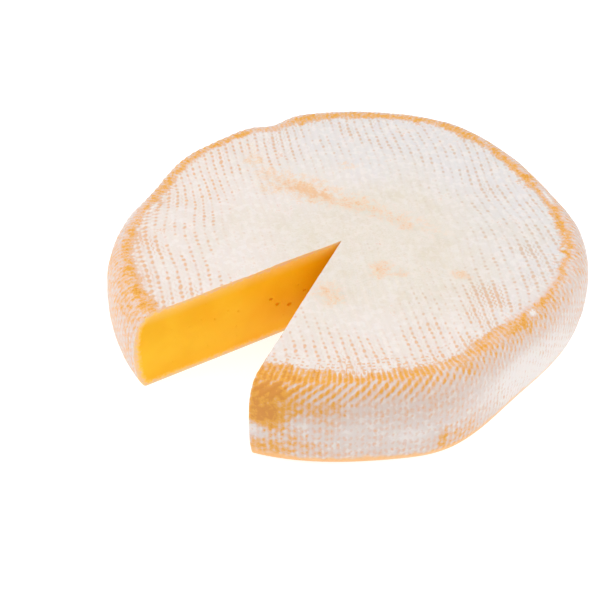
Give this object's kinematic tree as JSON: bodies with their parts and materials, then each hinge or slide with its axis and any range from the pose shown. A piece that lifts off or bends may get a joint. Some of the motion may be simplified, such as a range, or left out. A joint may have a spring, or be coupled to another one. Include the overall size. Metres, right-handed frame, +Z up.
{
  "type": "reblochon",
  "caption": "Small round washed-rind cheese with a cloth-marked rind and a wedge cut out, showing soft yellow paste.",
  "frame": {"origin": "bottom centre of the cheese's box, in the plane of its flat base", "axes": "+Z up through the thickness; the cut opens towards -X and -Y, and -Y is the side seen first"},
  "size_m": [0.1534, 0.15, 0.0287],
  "materials": {
    "rind": "soft washed rind: white bloom over orange, printed by the draining cloth, matt",
    "paste": "supple ripe paste, deep yellow, satin and slightly translucent"
  },
  "bodies": {
    "root": {"reblochon": "rind"}
  },
  "joints": []
}
